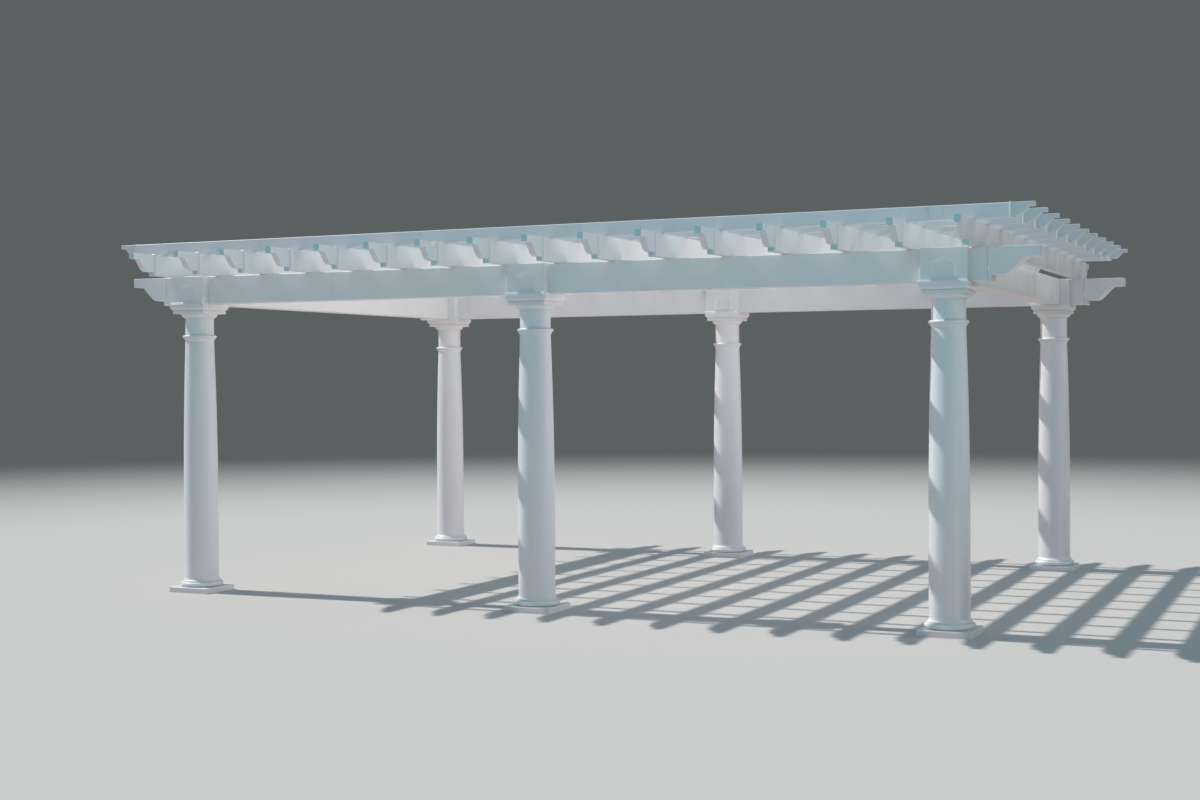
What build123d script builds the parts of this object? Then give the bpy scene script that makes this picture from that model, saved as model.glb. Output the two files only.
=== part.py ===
from build123d import *
import os

# White garden pergola: six round columns, a ring of beams, rafters across them and purlins on top.
# Millimetres. X runs along the long side, Y from front to back, Z up.
# The origin is at floor level, under the middle of the plan.

# Plan
COLUMN_BAY = 3227.0
ROW_SPACING = 4288.0
OVERHANG_X = 635.0
OVERHANG_Y = 626.0
RAFTER_SET_OUT = 202.0
PURLIN_SET_OUT = 216.0

# Column base
COLUMN_HEIGHT = 2455.0
PLINTH_WIDTH = 390.0
PLINTH_HEIGHT = 46.0
TORUS_RADIUS = 180.0
TORUS_HEIGHT = 42.0
LISTEL_HEIGHT = 8.0

# Column shaft, with the ring below its neck
FOOT_CURVE_HEIGHT = 26.0
SHAFT_RADIUS = 144.0
SHAFT_STRAIGHT = 640.0
NECK_RADIUS = 120.0
NECK_HEIGHT_FRONT = 143.0
NECK_HEIGHT_BACK = 183.0
RING_RADIUS = 142.0
RING_HEIGHT = 24.0
RING_FILLET_HEIGHT = 8.0
RING_COVE_HEIGHT = 20.0

# Capital: the fascia stands out beyond the block, the bevel starts in from it, a quirk parts it from the band
COLLAR_RADIUS = 127.0
COLLAR_HEIGHT = 8.0
ECHINUS_RADIUS = 152.0
ECHINUS_HEIGHT = 32.0
LOWER_BAND_HEIGHT = 22.0
LOWER_BAND_SET_BACK = 17.0
QUIRK_HEIGHT = 6.0
QUIRK_DEPTH = 5.0
BEVEL_HEIGHT = 16.0
BEVEL_LEDGE = 4.0
FASCIA_HEIGHT = 36.0
FASCIA_LIP = 11.0

# Block over the capital, with a small moulding round its foot and a sunk arched panel on each free face
BLOCK_WIDTH = 326.0
SHOE_HEIGHT = 13.0
SHOE_PROUD = 8.0
SHOE_ROUND = 7.0
ARCH_WIDTH = 164.0
ARCH_CROWN = 166.0
ARCH_RISE = 32.0
ARCH_SILL = 16.0
RECESS_DEPTH = 14.0
RECESS_TAPER = 55.0

# Beams
BEAM_DEPTH = 234.0
BEAM_WIDTH = 168.0
BEAM_CAP_LENGTH = 350.0
BEAM_BAND = 16.0
BEAM_SEAM = 8.0
GROOVE_WIDTH = 22.0
GROOVE_DEPTH = 12.0
GROOVE_SPACING = 82.0

# Rafters and purlins
RAFTER_COUNT = 16
RAFTER_DEPTH = 178.0
RAFTER_WIDTH = 50.8
RAFTER_CAP_LENGTH = 274.0
RAFTER_BAND = 12.0
PURLIN_COUNT = 11
PURLIN_DEPTH = 102.0
PURLIN_WIDTH = 50.8
PURLIN_CAP_LENGTH = 175.0
PURLIN_BAND = 16.0

# Moulded end caps of beams, rafters and purlins: a bevelled band, then a sunk seam at the joint
BAND_PROUD = 4.0
BAND_BEVEL = 3.5
CAP_SEAM = 4.0
SEAM_DEPTH = 3.0

# Rounded edges
PLINTH_ROUND = 6.0
FASCIA_ROUND = 3.0
BLOCK_ROUND = 4.0
BEAM_ROUND = 6.0
PROFILE_ROUND = 5.0
CAP_ROUND = 3.0

# Ogee cut under the end of a member: nose and heel are heights, cove_at, ovolo_at and heel_at are
# distances from the nose, cove and ovolo are the radii of the two curves
BEAM_TAIL = dict(nose=74.0, cove_at=94.0, ovolo_at=216.0, heel_at=323.0, heel=37.0, cove=34.0, ovolo=84.0)
RAFTER_TAIL = dict(nose=50.0, cove_at=70.0, ovolo_at=153.0, heel_at=246.0, heel=29.0, cove=20.0, ovolo=74.0)
PURLIN_TAIL = dict(nose=31.0, cove_at=39.0, ovolo_at=88.0, heel_at=140.0, heel=17.0, cove=12.0, ovolo=42.0)

# Sizes and places that follow
ROW_Y = ROW_SPACING / 2
RAFTER_SPACING = 2 * (COLUMN_BAY + RAFTER_SET_OUT) / (RAFTER_COUNT - 1)
PURLIN_SPACING = 2 * (ROW_Y + PURLIN_SET_OUT) / (PURLIN_COUNT - 1)
FASCIA_WIDTH = BLOCK_WIDTH + 2 * FASCIA_LIP
BEVEL_WIDTH = FASCIA_WIDTH - 2 * BEVEL_LEDGE
LOWER_BAND_WIDTH = FASCIA_WIDTH - 2 * LOWER_BAND_SET_BACK
QUIRK_WIDTH = LOWER_BAND_WIDTH - 2 * QUIRK_DEPTH
LISTEL_RADIUS = TORUS_RADIUS - TORUS_HEIGHT / 2
TORUS_TOP = PLINTH_HEIGHT + TORUS_HEIGHT
BASE_TOP = TORUS_TOP + LISTEL_HEIGHT
ABACUS_HEIGHT = LOWER_BAND_HEIGHT + QUIRK_HEIGHT + BEVEL_HEIGHT + FASCIA_HEIGHT
CAPITAL_FOOT = COLUMN_HEIGHT - ABACUS_HEIGHT - ECHINUS_HEIGHT - COLLAR_HEIGHT
BEAM_TOP = COLUMN_HEIGHT + BEAM_DEPTH
RAFTER_TOP = BEAM_TOP + RAFTER_DEPTH
PURLIN_TOP = RAFTER_TOP + PURLIN_DEPTH
HALF_LENGTH = COLUMN_BAY + OVERHANG_X
HALF_WIDTH = ROW_Y + OVERHANG_Y


def save(name, *solids):
    """Writes one sub-part, of one or more solids, to its own file."""
    whole = solids[0] if len(solids) == 1 else Compound(children=list(solids))
    export_step(whole, f"parts/{name}.step")


def evenly(count, spacing):
    """Places of a row of equal steps, centred on zero."""
    return [(index - (count - 1) / 2) * spacing for index in range(count)]


def edges_along(solid, axis):
    """Edges of a solid that run along one axis."""
    return solid.edges().filter_by(axis)


def rounded_bar(length, width, depth, radius, axis=Axis.X):
    """Straight profile along X or Y with its four long edges rounded, centred on zero."""
    sizes = (length, width, depth) if axis == Axis.X else (width, length, depth)
    bar = Box(*sizes)
    return fillet(edges_along(bar, axis), radius)


def turned(*edges):
    """Solid of revolution about Z. The edges run from the axis, round the outline, back to the axis."""
    outline = Curve() + list(edges)
    closing = Line(outline @ 1, outline @ 0)
    return revolve(Plane.XZ * make_face(outline + closing), axis=Axis.Z)


def column_base():
    """Square plinth under a round torus and a listel, centred on the column's axis."""
    plinth = Pos(0, 0, PLINTH_HEIGHT / 2) * Box(PLINTH_WIDTH, PLINTH_WIDTH, PLINTH_HEIGHT)
    plinth = fillet(edges_along(plinth, Axis.Z), PLINTH_ROUND)
    plinth = fillet(plinth.faces().sort_by(Axis.Z)[-1].edges(), PLINTH_ROUND)
    middle = PLINTH_HEIGHT + TORUS_HEIGHT / 2
    round_part = turned(
        Line((0, PLINTH_HEIGHT), (LISTEL_RADIUS, PLINTH_HEIGHT)),
        ThreePointArc((LISTEL_RADIUS, PLINTH_HEIGHT), (TORUS_RADIUS, middle), (LISTEL_RADIUS, TORUS_TOP)),
        Polyline((LISTEL_RADIUS, TORUS_TOP), (LISTEL_RADIUS, BASE_TOP), (0, BASE_TOP)),
    )
    return plinth + round_part


def column_shaft(neck_height):
    """Shaft from its foot curve, through a straight third and a swelling taper, to the ring and neck."""
    foot_top = BASE_TOP + FOOT_CURVE_HEIGHT
    taper_foot = foot_top + SHAFT_STRAIGHT
    ring_top = CAPITAL_FOOT - neck_height
    ring_foot = ring_top - RING_HEIGHT
    fillet_foot = ring_foot - RING_FILLET_HEIGHT
    cove_foot = fillet_foot - RING_COVE_HEIGHT
    fillet_radius = RING_RADIUS - RING_HEIGHT / 2
    ring_middle = ring_foot + RING_HEIGHT / 2
    return turned(
        Line((0, BASE_TOP), (LISTEL_RADIUS, BASE_TOP)),
        TangentArc((SHAFT_RADIUS, foot_top), (LISTEL_RADIUS, BASE_TOP), tangent=(0, -1)),
        Line((SHAFT_RADIUS, foot_top), (SHAFT_RADIUS, taper_foot)),
        TangentArc((SHAFT_RADIUS, taper_foot), (NECK_RADIUS, cove_foot), tangent=(0, 1)),
        TangentArc((NECK_RADIUS, cove_foot), (fillet_radius, fillet_foot), tangent=(0, 1)),
        Line((fillet_radius, fillet_foot), (fillet_radius, ring_foot)),
        ThreePointArc((fillet_radius, ring_foot), (RING_RADIUS, ring_middle), (fillet_radius, ring_top)),
        Line((fillet_radius, ring_top), (NECK_RADIUS, ring_top)),
        Polyline((NECK_RADIUS, ring_top), (NECK_RADIUS, CAPITAL_FOOT), (0, CAPITAL_FOOT)),
    )


def column_capital():
    """Round collar and echinus under a square abacus of lower band, quirk, bevel and fascia."""
    collar_top = CAPITAL_FOOT + COLLAR_HEIGHT
    echinus_top = collar_top + ECHINUS_HEIGHT
    band_top = echinus_top + LOWER_BAND_HEIGHT
    bevel_foot = band_top + QUIRK_HEIGHT
    bevel_top = bevel_foot + BEVEL_HEIGHT
    round_part = turned(
        Polyline((0, CAPITAL_FOOT), (COLLAR_RADIUS, CAPITAL_FOOT), (COLLAR_RADIUS, collar_top)),
        TangentArc((ECHINUS_RADIUS, echinus_top), (COLLAR_RADIUS, collar_top), tangent=(0, -1)),
        Line((ECHINUS_RADIUS, echinus_top), (0, echinus_top)),
    )
    band = Box(LOWER_BAND_WIDTH, LOWER_BAND_WIDTH, LOWER_BAND_HEIGHT)
    quirk = Box(QUIRK_WIDTH, QUIRK_WIDTH, QUIRK_HEIGHT)
    lower = Pos(0, 0, bevel_foot) * Rectangle(LOWER_BAND_WIDTH, LOWER_BAND_WIDTH)
    upper = Pos(0, 0, bevel_top) * Rectangle(BEVEL_WIDTH, BEVEL_WIDTH)
    bevel = loft([lower, upper])
    fascia = Box(FASCIA_WIDTH, FASCIA_WIDTH, FASCIA_HEIGHT)
    fascia = fillet(fascia.edges(), FASCIA_ROUND)
    abacus = Pos(0, 0, echinus_top + LOWER_BAND_HEIGHT / 2) * band
    abacus += Pos(0, 0, band_top + QUIRK_HEIGHT / 2) * quirk
    abacus += bevel
    abacus += Pos(0, 0, bevel_top + FASCIA_HEIGHT / 2) * fascia
    return round_part + abacus


def rounded_block(width, height, radius):
    """Square block standing at the columns' top, with its upright and its top edges rounded."""
    block = Pos(0, 0, COLUMN_HEIGHT + height / 2) * Box(width, width, height)
    block = fillet(edges_along(block, Axis.Z), BLOCK_ROUND)
    return fillet(block.faces().sort_by(Axis.Z)[-1].edges(), radius)


def arched_recess():
    """Cutter for the sunk panel on the block's front face: flat sill, low arch and sloped sides."""
    half = ARCH_WIDTH / 2
    spring = ARCH_CROWN - ARCH_RISE
    sides = Polyline((half, spring), (half, ARCH_SILL), (-half, ARCH_SILL), (-half, spring))
    crown = ThreePointArc((-half, spring), (0, ARCH_CROWN), (half, spring))
    face = Plane(origin=(0, -BLOCK_WIDTH / 2, COLUMN_HEIGHT), x_dir=(-1, 0, 0), z_dir=(0, 1, 0))
    return extrude(face * make_face(sides + crown), amount=RECESS_DEPTH, taper=RECESS_TAPER)


def column_block(free_faces):
    """Block over a capital: 0 is its front face, 180 its back one. Beams meet the faces that aren't free."""
    block = rounded_block(BLOCK_WIDTH, BEAM_DEPTH, BLOCK_ROUND)
    shoe = rounded_block(BLOCK_WIDTH + 2 * SHOE_PROUD, SHOE_HEIGHT, SHOE_ROUND)
    passage = Pos(0, -BLOCK_WIDTH / 2, COLUMN_HEIGHT) * Box(BEAM_WIDTH, 2 * SHOE_PROUD, 2 * SHOE_HEIGHT)
    for turn in (0, 90, 180, 270):
        if turn in free_faces:
            block -= Rot(0, 0, turn) * arched_recess()
        else:
            shoe -= Rot(0, 0, turn) * passage
    return block + shoe


def member_end(tail, length, depth, width, radius):
    """End of a beam, rafter or purlin: nose at x = 0, top at z = 0, running to x = length.

    The edges of both sides are rounded, but not those of the flat end at x = length.
    """
    cove_corner = (tail["cove_at"], -tail["nose"])
    ovolo_corner = (tail["ovolo_at"], tail["heel"] - depth)
    outline = make_face(
        Polyline(
            (0, 0), (0, -tail["nose"]), cove_corner, ovolo_corner,
            (tail["heel_at"], tail["heel"] - depth), (tail["heel_at"], -depth), (length, -depth), (length, 0),
            close=True,
        )
    )
    outline = fillet(outline.vertices().sort_by_distance(cove_corner)[0], tail["cove"])
    outline = fillet(outline.vertices().sort_by_distance(ovolo_corner)[0], tail["ovolo"])
    member = extrude(Plane.XZ * outline, amount=width / 2, both=True)
    sides = member.faces().sort_by(Axis.Y)
    rims = [edge for side in (sides[0], sides[-1]) for edge in side.edges()]
    flat_end = member.faces().sort_by(Axis.X)[-1].edges()
    return fillet([edge for edge in rims if edge not in flat_end], radius)


def end_cap(tail, length, depth, width, band, seam):
    """Moulded end cap of a beam, rafter or purlin: a bevelled band all round, then the sunk seam."""
    body_length = length - seam
    cap = member_end(tail, body_length, depth, width, CAP_ROUND)
    collar = rounded_bar(band, width + 2 * BAND_PROUD, depth + 2 * BAND_PROUD, PROFILE_ROUND)
    collar_ends = collar.faces().sort_by(Axis.X)
    collar = chamfer(collar_ends[0].edges() + collar_ends[-1].edges(), BAND_BEVEL)
    neck = rounded_bar(2 * seam, width - 2 * SEAM_DEPTH, depth - 2 * SEAM_DEPTH, CAP_ROUND)
    cap += Pos(body_length - band / 2, 0, -depth / 2) * collar
    return cap + Pos(length - seam, 0, -depth / 2) * neck


def beam_tail():
    """Cantilevered end of a front or back beam: a short stub, then the cap with its grooved nose."""
    stub_length = OVERHANG_X - BLOCK_WIDTH / 2 - BEAM_CAP_LENGTH
    stub = rounded_bar(stub_length, BEAM_WIDTH, BEAM_DEPTH, BEAM_ROUND)
    tail = end_cap(BEAM_TAIL, BEAM_CAP_LENGTH, BEAM_DEPTH, BEAM_WIDTH, BEAM_BAND, BEAM_SEAM)
    tail += Pos(BEAM_CAP_LENGTH + stub_length / 2, 0, -BEAM_DEPTH / 2) * stub
    for y in evenly(2, GROOVE_SPACING):
        tail -= Pos(0, y, -BEAM_DEPTH / 2) * Box(2 * GROOVE_DEPTH, GROOVE_WIDTH, BEAM_DEPTH)
    return tail


def save_columns():
    base = column_base()
    capital = column_capital()
    rows = (
        ("front", -ROW_Y, 0, column_shaft(NECK_HEIGHT_FRONT)),
        ("back", ROW_Y, 180, column_shaft(NECK_HEIGHT_BACK)),
    )
    bases = []
    capitals = []
    blocks = []
    for row, y, outward, shaft in rows:
        for side, x in (("left", -COLUMN_BAY), ("middle", 0.0), ("right", COLUMN_BAY)):
            place = Pos(x, y, 0)
            free_faces = (0, 180) if side == "middle" else (outward,)
            bases.append(place * base)
            capitals.append(place * capital)
            blocks.append(place * column_block(free_faces))
            save(f"column_shaft_{row}_{side}", place * shaft)
    save("column_bases", *bases)
    save("column_capitals", *capitals)
    save("column_blocks", *blocks)


def save_beams():
    bay = rounded_bar(COLUMN_BAY - BLOCK_WIDTH, BEAM_WIDTH, BEAM_DEPTH, BEAM_ROUND)
    side = rounded_bar(ROW_SPACING - BLOCK_WIDTH, BEAM_WIDTH, BEAM_DEPTH, BEAM_ROUND, Axis.Y)
    level = COLUMN_HEIGHT + BEAM_DEPTH / 2
    for row, y in (("front", -ROW_Y), ("back", ROW_Y)):
        save(f"{row}_beams", *(Pos(x, y, level) * bay for x in evenly(2, COLUMN_BAY)))
    save("side_beam_left", Pos(-COLUMN_BAY, 0, level) * side)
    save("side_beam_right", Pos(COLUMN_BAY, 0, level) * side)
    tail = beam_tail()
    tails = []
    for y in (-ROW_Y, ROW_Y):
        tails.append(Pos(-HALF_LENGTH, y, BEAM_TOP) * tail)
        tails.append(Pos(HALF_LENGTH, y, BEAM_TOP) * Rot(0, 0, 180) * tail)
    save("beam_tails", *tails)


def save_rafters():
    places = evenly(RAFTER_COUNT, RAFTER_SPACING)
    length = 2 * (HALF_WIDTH - RAFTER_CAP_LENGTH)
    profile = rounded_bar(length, RAFTER_WIDTH, RAFTER_DEPTH, PROFILE_ROUND, Axis.Y)
    for number, x in enumerate(places, start=1):
        save(f"rafter_{number:02d}", Pos(x, 0, BEAM_TOP + RAFTER_DEPTH / 2) * profile)
    cap = end_cap(RAFTER_TAIL, RAFTER_CAP_LENGTH, RAFTER_DEPTH, RAFTER_WIDTH, RAFTER_BAND, CAP_SEAM)
    save("rafter_caps_front", *(Pos(x, -HALF_WIDTH, RAFTER_TOP) * Rot(0, 0, 90) * cap for x in places))
    save("rafter_caps_back", *(Pos(x, HALF_WIDTH, RAFTER_TOP) * Rot(0, 0, -90) * cap for x in places))


def save_purlins():
    places = evenly(PURLIN_COUNT, PURLIN_SPACING)
    length = 2 * (HALF_LENGTH - PURLIN_CAP_LENGTH)
    profile = rounded_bar(length, PURLIN_WIDTH, PURLIN_DEPTH, PROFILE_ROUND)
    for number, y in enumerate(places, start=1):
        save(f"purlin_{number:02d}", Pos(0, y, RAFTER_TOP + PURLIN_DEPTH / 2) * profile)
    cap = end_cap(PURLIN_TAIL, PURLIN_CAP_LENGTH, PURLIN_DEPTH, PURLIN_WIDTH, PURLIN_BAND, CAP_SEAM)
    save("purlin_caps_left", *(Pos(-HALF_LENGTH, y, PURLIN_TOP) * cap for y in places))
    save("purlin_caps_right", *(Pos(HALF_LENGTH, y, PURLIN_TOP) * Rot(0, 0, 180) * cap for y in places))


os.makedirs("parts", exist_ok=True)
save_columns()
save_beams()
save_rafters()
save_purlins()
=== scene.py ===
import math

import bpy
from mathutils import Matrix, Vector


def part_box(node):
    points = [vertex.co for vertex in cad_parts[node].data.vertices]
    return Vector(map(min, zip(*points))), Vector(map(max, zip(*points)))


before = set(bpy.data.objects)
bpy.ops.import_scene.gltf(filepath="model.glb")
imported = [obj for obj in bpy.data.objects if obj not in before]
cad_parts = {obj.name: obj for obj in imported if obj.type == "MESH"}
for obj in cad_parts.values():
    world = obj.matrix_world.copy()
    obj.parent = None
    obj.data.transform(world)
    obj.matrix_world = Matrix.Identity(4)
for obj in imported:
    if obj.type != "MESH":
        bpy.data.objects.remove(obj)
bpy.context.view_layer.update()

# The photograph's camera, in the part's frame. Lengths are in metres, turns in radians
PHOTO_WIDTH = 1200
FOCAL_PIXELS = 1668.54
CAMERA_PLACE = (5.8755, -13.7268, 1.8012)
CAMERA_YAW = 0.43096
CAMERA_PITCH = -0.01290
CAMERA_ROLL = -0.00624
SENSOR_MILLIMETRES = 36.0
CAMERA_REACH = 300.0

# Heights where the members change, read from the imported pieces
BEAM_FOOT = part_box("front_beams")[0].z
BEAM_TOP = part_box("front_beams")[1].z
RAFTER_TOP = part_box("rafter_01")[1].z
PURLIN_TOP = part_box("purlin_01")[1].z
CAPITAL_FOOT = BEAM_FOOT - 0.12

# Sun from the left and weak wide fill from the right. Angles are in degrees
SUN_STRENGTH = 3.25
SUN_ANGLE = 0.8
SUN_FROM = (-0.84, -0.02, 1.0)
SUN_COLOUR = (1.0, 0.975, 0.94)
FILL_STRENGTH = 0.72
FILL_ANGLE = 50.0
FILL_FROM = (1.0, 0.25, 0.34)
FILL_COLOUR = (1.0, 0.94, 0.905)

# Area lamps inside the pergola that stand for light off the sunlit floor: name, power, place
BOUNCE_LAMPS = (
    ("floor_bounce_right", 33.0, (1.75, -0.25, 0.72)),
    ("floor_bounce_left", 8.0, (-0.9, -0.25, 0.72)),
)
BOUNCE_WAY = (-0.7, 0.0, 0.7)
BOUNCE_LONG = 3.7
BOUNCE_TALL = 1.8
BOUNCE_SPREAD = 125.0
BOUNCE_COLOUR = (1.0, 0.965, 0.965)

# Sky and backdrop
SKY_COLOUR = (0.445, 0.765, 1.0, 1)
SKY_STRENGTH = 0.43
BACKDROP_COLOUR = (0.105, 0.12, 0.12, 1)

# The floor as it is seen, and the colours of the light that it bounces
FLOOR_SIZE = 160
FLOOR_ROUGHNESS = 0.9
FLOOR_COLOUR = (0.55, 0.515, 0.485, 1)
FLOOR_FADE = (7.0, 26.0)
PAVING_BOUNCE = (0.56, 0.405, 0.37, 1)
POOL_BOUNCE = (0.33, 0.495, 0.495, 1)

# The pool's bounce is full in front of the first y and right of the second x, and fades out
# towards the other one
POOL_Y = (-6.0, -3.2)
POOL_X = (-5.5, -1.0)

# White plastic, what lies on it, and the light, shade and reflection painted on it
WHITE = (0.83, 0.845, 0.85, 1)
# The purlins' lighter, lavender white is painted light, for the sun and bounce that brighten them
PURLIN_PAINTED_LIGHT_WHITE = (0.91, 0.885, 0.895, 1)
WARM_WHITE = (0.80, 0.80, 0.785, 1)
COOL_WHITE = (0.80, 0.825, 0.84, 1)
CAP_TONE = (0.68, 0.72, 0.735, 1)
# The bluish end squares of the rafter caps are painted shade with a painted bluish reflection
CAP_END_PAINTED_SHADE = (0.53, 0.745, 0.79, 1)
# The purlin caps' light collar is a painted highlight
COLLAR_PAINTED_HIGHLIGHT = (0.93, 0.93, 0.93, 1)
# Brown of the rain streaks, and of the darker corners, where it is dirt and painted shade
GRIME_AND_CORNER_SHADE = (0.36, 0.34, 0.29, 1)
# Brown of the outer faces to the right: painted shade with some stains
STAIN_AND_PAINTED_SHADE = (0.43, 0.40, 0.36, 1)
# Green of the algae on the faces that look up, and of the painted reflection low on the outer
# faces to the right
ALGAE_AND_REFLECTION_GREEN = (0.33, 0.37, 0.25, 1)
DUST = (0.55, 0.52, 0.46, 1)
PLASTIC_IOR = 1.49

# The noises: scale, detail, roughness, and stretch along x, y and z
EVEN = (1, 1, 1)
PATCHES = (0.9, 2.0, 0.5, EVEN)
STREAKS_FINE = (34.0, 3.0, 0.6, (1, 1, 0.035))
STREAKS_COARSE = (7.0, 2.0, 0.5, (1, 1, 0.12))
SPECKS = (19.0, 6.0, 0.7, EVEN)
BLOTCHES = (2.6, 4.0, 0.6, EVEN)
STAIN_CLOUDS = (2.3, 5.0, 0.62, (1, 1, 0.5))
STAIN_LINES = (24.0, 3.0, 0.6, (1, 1, 0.03))
WEAR = (5.0, 4.0, 0.6, EVEN)
WAVES = (1.4, 2.0, 0.5, (1, 1, 1.6))
GRAIN = (420.0, 3.0, 0.6, EVEN)
DRAWN = {
    "x": (160.0, 2.0, 0.5, (0.012, 1, 1)),
    "y": (160.0, 2.0, 0.5, (1, 0.012, 1)),
    "": (60.0, 2.0, 0.5, EVEN),
}
# How a material's seed moves its noises along x, y and z
SEED_SHIFT = (1.0, 1.7, 0.3)

# Steps: the values between which a mask goes from one end to the other
FACES_RIGHT = (0.55, 0.90)
FACES_Y = (0.90, 0.98)
FACES_UP = (0.60, 0.95)
LEANS = (0.30, 0.70)
PATCH_STEP = (0.35, 0.65)
FINE_STEP = (0.52, 0.72)
COARSE_STEP = (0.46, 0.66)
ALGAE_SPECKS = (0.42, 0.72)
ALGAE_BLOTCHES = (0.35, 0.70)
FILM_STEP = (0.25, 0.75)
CORNER_STEP = (0.45, 0.92)
CORNER_SPECKS = (0.30, 0.60)
CLOUD_STEP = (0.40, 0.66)
LINE_STEP = (0.42, 0.70)
LOW_REFLECTION_SPECKS = (0.25, 0.70)
WEAR_STEP = (0.30, 0.70)

# Shares of a tone, of dirt, or of painted shade, highlight or reflection. A pair goes with a step
# and says what its two ends give
WHITE_SHARE = 0.62
PIECE_SHARE = 0.25
CAP_SHARE = 0.6
COLLAR_HIGHLIGHT_SHARE = 0.9
STREAKS_DOWN = (0.35, 1.0)
ALGAE_SHARE = 0.45
FILM_SHARE = (0.20, 0.44)
CORNER_SHARE = 0.15
CORNER_SPECK_SHARE = (0.25, 0.60)
# The low band on the outer faces to the right is painted shade and reflection
LOW_REFLECTION_SHARE = 0.26
LOW_REFLECTION_SPECK_SHARE = (0.35, 1.0)
# These two are a factor and an addend
STAIN_BY_LINES = (0.60, 0.45)
STAIN_AND_SHADE_AMOUNT = (0.42, 0.20)

# How far from a corner its dirt and painted shade reach, and how high the low band of painted
# shade and reflection goes, as a share of the member
CORNER_REACH = 0.028
CORNER_SAMPLES = 6
LOW_REFLECTION_HEIGHT = 0.55

# Roughness of the members, how wear changes it, and what lying dust adds
SATIN = 0.36
COLUMN_SATIN = 0.34
CAP_SATIN = 0.3
WEAR_SMOOTHER = 0.05
WEAR_ROUGHER = 0.07
DUST_ROUGHER = 0.15

# Strength and height of the bumps
WAVE_BUMP = (0.25, 0.02)
DRAWN_BUMP = (0.12, 0.0012)
GRAIN_BUMP = (0.06, 0.0006)

# The lighter collar of a purlin's end cap, a painted highlight, from the joint outwards
COLLAR_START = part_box("purlin_01")[1].x
COLLAR_END = COLLAR_START + 0.016
COLLAR_EDGE = 0.001

# The outer faces to the right get painted shade with some stains, from just inside the side
# beam's outer face
SHADE_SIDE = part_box("side_beam_right")[1].x - 0.02
SHADE_EDGE = 0.01

# The materials: heights between which the dirt runs, direction of the drawing lines, amount of
# streaks, seed of the noises, roughness, direction of a cap, and own white
LOOKS = {
    "column_satin": dict(
        foot=0.0, top=BEAM_FOOT, streaks=0.10, seed=3.1, roughness=COLUMN_SATIN
    ),
    "capital_satin": dict(foot=CAPITAL_FOOT, top=BEAM_FOOT, streaks=0.22, seed=5.3),
    "block_satin": dict(foot=BEAM_FOOT, top=BEAM_TOP, streaks=0.28, seed=7.9),
    "beam_satin_long": dict(foot=BEAM_FOOT, top=BEAM_TOP, streaks=0.20, seed=11.2, along="x"),
    "beam_satin_side": dict(foot=BEAM_FOOT, top=BEAM_TOP, streaks=0.42, seed=13.7, along="y"),
    "rafter_satin": dict(foot=BEAM_TOP, top=RAFTER_TOP, streaks=0.34, seed=17.4, along="y"),
    "purlin_satin": dict(
        foot=RAFTER_TOP, top=PURLIN_TOP, streaks=0.22, seed=19.8, along="x", white=PURLIN_PAINTED_LIGHT_WHITE
    ),
    "rafter_cap_moulded": dict(
        foot=BEAM_TOP, top=RAFTER_TOP, streaks=0.2, seed=23.5, roughness=CAP_SATIN, cap="y"
    ),
    "purlin_cap_moulded": dict(
        foot=RAFTER_TOP, top=PURLIN_TOP, streaks=0.15, seed=29.1, roughness=CAP_SATIN, cap="x"
    ),
}

# Which pieces wear which material. The first row that a piece's name starts with counts
WEARS = (
    ("column_shaft", "column_satin"),
    ("column_bases", "column_satin"),
    ("column_capitals", "capital_satin"),
    ("column_blocks", "block_satin"),
    ("front_beams", "beam_satin_long"),
    ("back_beams", "beam_satin_long"),
    ("beam_tails", "beam_satin_long"),
    ("side_beam", "beam_satin_side"),
    ("rafter_caps", "rafter_cap_moulded"),
    ("rafter", "rafter_satin"),
    ("purlin_caps", "purlin_cap_moulded"),
    ("purlin", "purlin_satin"),
)


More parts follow.
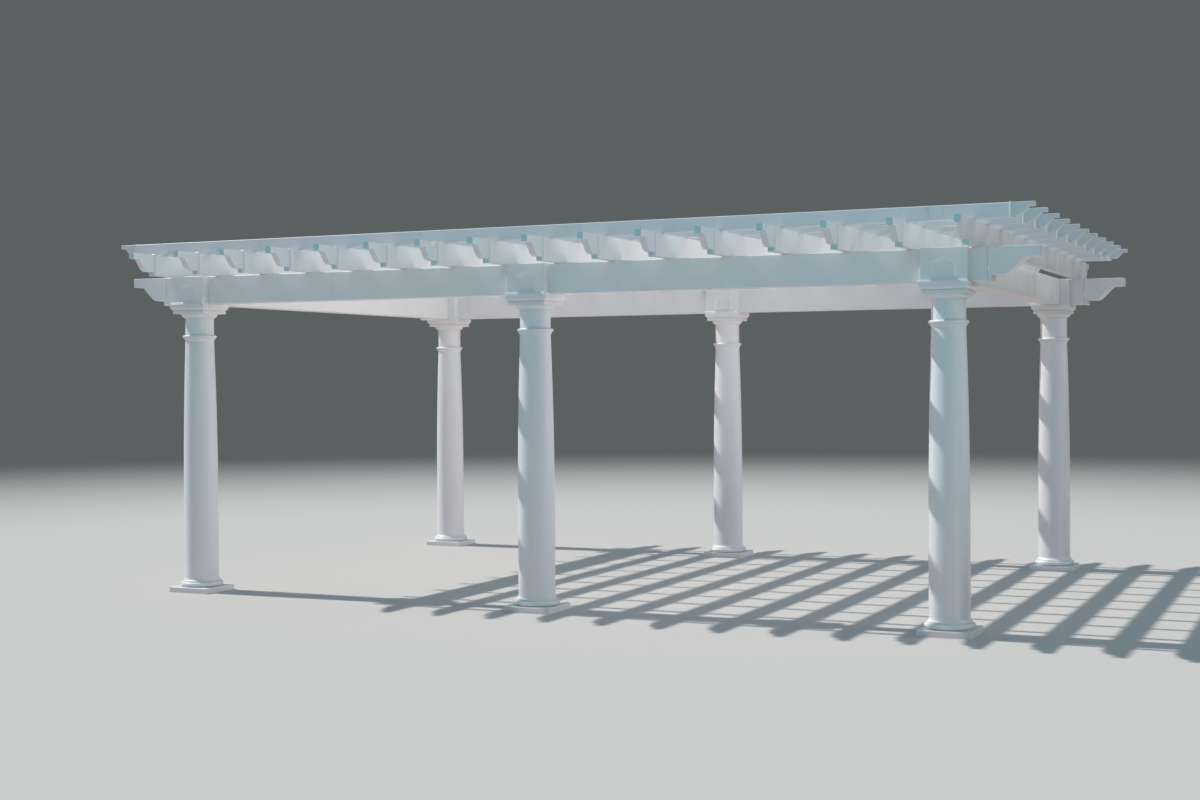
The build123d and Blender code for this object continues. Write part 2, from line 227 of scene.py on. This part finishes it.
class Tree:
    """Short names for building one material's nodes."""

    def __init__(self, name):
        self.material = bpy.data.materials.new(name)
        self.material.use_nodes = True
        self.nodes = self.material.node_tree.nodes
        self.links = self.material.node_tree.links
        self.shader = self.nodes["Principled BSDF"]

    def add(self, kind, inputs=None, **settings):
        """A node with its settings. An input that is a socket is linked, any other is set."""
        node = self.nodes.new(kind)
        for key, value in settings.items():
            setattr(node, key, value)
        for key, value in (inputs or {}).items():
            if isinstance(value, bpy.types.NodeSocket):
                self.links.new(value, node.inputs[key])
            else:
                node.inputs[key].default_value = value
        return node

    def math(self, operation, a, b=0.0, c=0.0):
        return self.add("ShaderNodeMath", {0: a, 1: b, 2: c}, operation=operation).outputs[0]

    def multiply(self, product, *factors):
        for factor in factors:
            product = self.math("MULTIPLY", product, factor)
        return product

    def ramp(self, value, low, high, to_low=0.0, to_high=1.0):
        """Smooth step of a value from low to high."""
        inputs = {"Value": value, "From Min": low, "From Max": high}
        inputs.update({"To Min": to_low, "To Max": to_high})
        node = self.add("ShaderNodeMapRange", inputs, interpolation_type="SMOOTHSTEP")
        return node.outputs["Result"]

    def fall(self, value, low, high):
        """Smooth step from one down to nothing."""
        return self.ramp(value, low, high, 1.0, 0.0)

    def mix(self, factor, a, b):
        """Mix of two colours. Sockets 0, 6 and 7, and output 2, are the node's colour ones."""
        return self.add("ShaderNodeMix", {0: factor, 6: a, 7: b}, data_type="RGBA").outputs[2]

    def noise(self, pattern, shift):
        scale, detail, roughness, stretch = pattern
        mapping = self.add(
            "ShaderNodeMapping", {"Vector": self.place, "Scale": stretch, "Location": shift}
        )
        inputs = {"Vector": mapping.outputs[0], "Scale": scale}
        inputs.update({"Detail": detail, "Roughness": roughness})
        return self.add("ShaderNodeTexNoise", inputs).outputs["Fac"]

    def read_surface(self):
        """Place and facing of the surface, which the masks read."""
        self.place = self.add("ShaderNodeTexCoord").outputs["Object"]
        place = self.add("ShaderNodeSeparateXYZ", {0: self.place})
        self.x = place.outputs["X"]
        self.z = place.outputs["Z"]
        geometry = self.add("ShaderNodeNewGeometry")
        normal = self.add("ShaderNodeSeparateXYZ", {0: geometry.outputs["Normal"]})
        to_x, to_y, to_z = normal.outputs
        self.faces_right = self.ramp(to_x, *FACES_RIGHT)
        self.faces_y = self.ramp(self.math("ABSOLUTE", to_y), *FACES_Y)
        self.faces_up = self.ramp(to_z, *FACES_UP)
        self.upright = self.fall(self.math("ABSOLUTE", to_z), *LEANS)
        self.piece = geometry.outputs["Random Per Island"]


def body_colour(tree, white, shift):
    """White with soft patches of tone, and a little different from one solid to the next."""
    patches = tree.ramp(tree.noise(PATCHES, shift), *PATCH_STEP)
    colour = tree.mix(patches, WARM_WHITE, COOL_WHITE)
    colour = tree.mix(WHITE_SHARE, colour, white)
    return tree.mix(tree.multiply(tree.piece, PIECE_SHARE), colour, COOL_WHITE)


def cap_colour(tree, colour, cap):
    """Darker caps. A rafter's has a bluish end square of painted shade and painted reflection,
    and a purlin's has a light collar that is a painted highlight.
    """
    colour = tree.mix(CAP_SHARE, colour, CAP_TONE)
    # Painted shade and bluish reflection on the end squares
    if cap == "y":
        return tree.mix(tree.faces_y, colour, CAP_END_PAINTED_SHADE)
    # Painted highlight on the collar
    band = tree.fall(tree.math("ABSOLUTE", tree.x), COLLAR_END, COLLAR_END + COLLAR_EDGE)
    return tree.mix(tree.multiply(band, COLLAR_HIGHLIGHT_SHARE), colour, COLLAR_PAINTED_HIGHLIGHT)


def rain_streaks(tree, colour, foot, top, streaks, shift):
    """Streaks that run down the upright faces and fade towards the foot."""
    fine = tree.ramp(tree.noise(STREAKS_FINE, shift), *FINE_STEP)
    coarse = tree.ramp(tree.noise(STREAKS_COARSE, shift), *COARSE_STEP)
    fade = tree.ramp(tree.z, foot, top, *STREAKS_DOWN)
    return tree.mix(tree.multiply(fine, coarse, fade, tree.upright, streaks), colour, GRIME_AND_CORNER_SHADE)


def dust_and_algae(tree, colour, speck, shift):
    """What lies on the faces that look up."""
    blotch = tree.noise(BLOTCHES, shift)
    specks = tree.ramp(speck, *ALGAE_SPECKS)
    blotches = tree.ramp(blotch, *ALGAE_BLOTCHES)
    algae = tree.multiply(specks, blotches, tree.faces_up, ALGAE_SHARE)
    colour = tree.mix(algae, colour, ALGAE_AND_REFLECTION_GREEN)
    film = tree.multiply(tree.faces_up, tree.ramp(blotch, *FILM_STEP, *FILM_SHARE))
    return tree.mix(film, colour, DUST)


def corner_dirt_and_painted_shade(tree, colour, speck):
    """The corners between pieces are darker by ambient occlusion: some dirt, and painted shade.
    """
    # Painted shade where ambient occlusion finds a corner, mixed with some dirt
    corner = tree.add(
        "ShaderNodeAmbientOcclusion",
        {"Distance": CORNER_REACH},
        samples=CORNER_SAMPLES,
        only_local=False,
    )
    shut = tree.fall(corner.outputs["AO"], *CORNER_STEP)
    specks = tree.ramp(speck, *CORNER_SPECKS, *CORNER_SPECK_SHARE)
    return tree.mix(tree.multiply(shut, specks, CORNER_SHARE), colour, GRIME_AND_CORNER_SHADE)


def right_side_painted_shade_and_stains(tree, colour, foot, top, speck, shift):
    """Painted shade with stains and streaks on the outer faces to the right, and a greenish
    painted reflection low down.
    """
    side = tree.ramp(tree.x, SHADE_SIDE, SHADE_SIDE + SHADE_EDGE)
    shaded = tree.multiply(tree.faces_right, side)
    clouds = tree.ramp(tree.noise(STAIN_CLOUDS, shift), *CLOUD_STEP)
    lines = tree.ramp(tree.noise(STAIN_LINES, shift), *LINE_STEP)
    stain = tree.multiply(clouds, tree.math("MULTIPLY_ADD", lines, *STAIN_BY_LINES))
    amount = tree.math("MULTIPLY_ADD", stain, *STAIN_AND_SHADE_AMOUNT)
    # Painted shade, with stains in it, on the outer faces to the right
    colour = tree.mix(tree.multiply(amount, shaded), colour, STAIN_AND_PAINTED_SHADE)
    # A greenish band low down, painted reflection and shade
    low = tree.fall(tree.z, foot, foot + (top - foot) * LOW_REFLECTION_HEIGHT)
    specks = tree.ramp(speck, *LOW_REFLECTION_SPECKS, *LOW_REFLECTION_SPECK_SHARE)
    return tree.mix(tree.multiply(low, specks, shaded, LOW_REFLECTION_SHARE), colour, ALGAE_AND_REFLECTION_GREEN)


def bump_chain(tree, layers):
    """Bumps one on the other. A layer is a height and the pair of its strength and distance."""
    normal = None
    for height, (strength, distance) in layers:
        inputs = {"Height": height, "Strength": strength, "Distance": distance}
        if normal is not None:
            inputs["Normal"] = normal
        normal = tree.add("ShaderNodeBump", inputs).outputs["Normal"]
    return normal


def white_plastic(
    name, foot, top, streaks, seed, along="", roughness=SATIN, cap="", white=WHITE
):
    """Weathered white plastic with drawing lines, a soft waviness and a fine grain, and painted
    shade, highlight and reflection.
    """
    tree = Tree(name)
    tree.read_surface()
    shift = tuple(seed * way for way in SEED_SHIFT)
    speck = tree.noise(SPECKS, shift)
    colour = body_colour(tree, white, shift)
    if cap:
        colour = cap_colour(tree, colour, cap)
    colour = rain_streaks(tree, colour, foot, top, streaks, shift)
    colour = dust_and_algae(tree, colour, speck, shift)
    colour = corner_dirt_and_painted_shade(tree, colour, speck)
    colour = right_side_painted_shade_and_stains(tree, colour, foot, top, speck, shift)
    wear = tree.noise(WEAR, shift)
    worn = tree.ramp(wear, *WEAR_STEP, roughness - WEAR_SMOOTHER, roughness + WEAR_ROUGHER)
    rough = tree.math("ADD", worn, tree.multiply(tree.faces_up, DUST_ROUGHER))
    layers = ((WAVES, WAVE_BUMP), (DRAWN[along], DRAWN_BUMP), (GRAIN, GRAIN_BUMP))
    bumps = bump_chain(tree, [(tree.noise(pattern, shift), bump) for pattern, bump in layers])
    tree.links.new(colour, tree.shader.inputs["Base Color"])
    tree.links.new(rough, tree.shader.inputs["Roughness"])
    tree.links.new(bumps, tree.shader.inputs["Normal"])
    tree.shader.inputs["IOR"].default_value = PLASTIC_IOR
    return tree.material


def dress_all():
    """Gives each CAD piece its material."""
    materials = {name: white_plastic(name, **looks) for name, looks in LOOKS.items()}
    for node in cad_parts:
        worn = next(name for start, name in WEARS if node.startswith(start))
        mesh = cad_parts[node].data
        mesh.materials.clear()
        mesh.materials.append(materials[worn])


def seen_directly(nodes, links):
    """One for the rays that show a surface as it is, nothing for those that only light others."""
    rays = nodes.new("ShaderNodeLightPath")
    total = rays.outputs["Is Camera Ray"]
    for name in ("Is Glossy Ray", "Is Transmission Ray"):
        both = nodes.new("ShaderNodeMath")
        both.operation = "MAXIMUM"
        links.new(total, both.inputs[0])
        links.new(rays.outputs[name], both.inputs[1])
        total = both.outputs[0]
    return total


def add_floor():
    """Plain pale floor that fades into the backdrop.

    The light that it bounces is warm, and cooler in front, from the middle to the right.
    """
    bpy.ops.mesh.primitive_plane_add(size=FLOOR_SIZE, location=(0, 0, 0))
    floor = bpy.context.object
    floor.name = "floor"
    tree = Tree("floor_pale")
    shown = seen_directly(tree.nodes, tree.links)
    place = tree.add("ShaderNodeTexCoord").outputs["Object"]
    split = tree.add("ShaderNodeSeparateXYZ", {0: place})
    ahead = tree.fall(split.outputs["Y"], *POOL_Y)
    pool = tree.multiply(ahead, tree.ramp(split.outputs["X"], *POOL_X))
    lighting = tree.mix(pool, PAVING_BOUNCE, POOL_BOUNCE)
    tree.links.new(tree.mix(shown, lighting, FLOOR_COLOUR), tree.shader.inputs["Base Color"])
    tree.shader.inputs["Roughness"].default_value = FLOOR_ROUGHNESS
    distance = tree.add("ShaderNodeVectorMath", {0: place}, operation="LENGTH")
    far = tree.ramp(distance.outputs["Value"], *FLOOR_FADE)
    glow = tree.add("ShaderNodeEmission", {"Color": BACKDROP_COLOUR})
    chosen = tree.add(
        "ShaderNodeMixShader",
        {0: tree.multiply(far, shown), 1: tree.shader.outputs[0], 2: glow.outputs[0]},
    )
    tree.links.new(chosen.outputs[0], tree.nodes["Material Output"].inputs["Surface"])
    floor.data.materials.append(tree.material)


def add_lamp(name, kind, strength, colour, way, axis):
    """Puts one lamp in the scene, with one of its axes turned along a direction."""
    lamp = bpy.data.lights.new(name, kind)
    lamp.energy = strength
    lamp.color = colour
    holder = bpy.data.objects.new(name, lamp)
    holder.rotation_euler = Vector(way).to_track_quat(axis, "Y").to_euler()
    bpy.context.scene.collection.objects.link(holder)
    return lamp, holder


def add_light():
    """A soft sun from the left, a weak wide fill, and light off the floor inside."""
    sun, _ = add_lamp("soft_sun", "SUN", SUN_STRENGTH, SUN_COLOUR, SUN_FROM, "Z")
    sun.angle = math.radians(SUN_ANGLE)
    fill, _ = add_lamp("soft_fill", "SUN", FILL_STRENGTH, FILL_COLOUR, FILL_FROM, "Z")
    fill.angle = math.radians(FILL_ANGLE)
    for name, power, place in BOUNCE_LAMPS:
        bounce, holder = add_lamp(name, "AREA", power, BOUNCE_COLOUR, BOUNCE_WAY, "-Z")
        bounce.shape = "RECTANGLE"
        bounce.size = BOUNCE_TALL
        bounce.size_y = BOUNCE_LONG
        bounce.spread = math.radians(BOUNCE_SPREAD)
        holder.location = place
        holder.visible_camera = False
        holder.visible_glossy = False


def add_sky():
    """Even bluish light from all sides. Where the sky is seen, it is the plain backdrop."""
    world = bpy.data.worlds.new("studio")
    bpy.context.scene.world = world
    world.use_nodes = True
    nodes = world.node_tree.nodes
    links = world.node_tree.links
    sky = nodes["Background"]
    sky.inputs["Color"].default_value = SKY_COLOUR
    sky.inputs["Strength"].default_value = SKY_STRENGTH
    backdrop = nodes.new("ShaderNodeBackground")
    backdrop.inputs["Color"].default_value = BACKDROP_COLOUR
    chosen = nodes.new("ShaderNodeMixShader")
    links.new(seen_directly(nodes, links), chosen.inputs[0])
    links.new(sky.outputs[0], chosen.inputs[1])
    links.new(backdrop.outputs[0], chosen.inputs[2])
    links.new(chosen.outputs[0], nodes["World Output"].inputs["Surface"])


def add_camera():
    """Camera at the photograph's place, turn and lens."""
    flat = Vector((-math.sin(CAMERA_YAW), math.cos(CAMERA_YAW), 0))
    side = Vector((math.cos(CAMERA_YAW), math.sin(CAMERA_YAW), 0))
    rise = Vector((0, 0, 1))
    ahead = flat * math.cos(CAMERA_PITCH) + rise * math.sin(CAMERA_PITCH)
    above = rise * math.cos(CAMERA_PITCH) - flat * math.sin(CAMERA_PITCH)
    right = side * math.cos(CAMERA_ROLL) + above * math.sin(CAMERA_ROLL)
    top = above * math.cos(CAMERA_ROLL) - side * math.sin(CAMERA_ROLL)
    data = bpy.data.cameras.new("camera")
    data.sensor_width = SENSOR_MILLIMETRES
    data.lens = FOCAL_PIXELS / PHOTO_WIDTH * data.sensor_width
    data.clip_end = CAMERA_REACH
    camera = bpy.data.objects.new("camera", data)
    turn = Matrix((right, top, -ahead)).transposed().to_4x4()
    camera.matrix_world = Matrix.Translation(CAMERA_PLACE) @ turn
    bpy.context.scene.collection.objects.link(camera)
    bpy.context.scene.camera = camera


dress_all()
add_floor()
add_light()
add_sky()
add_camera()
bpy.context.scene.view_settings.view_transform = "Standard"
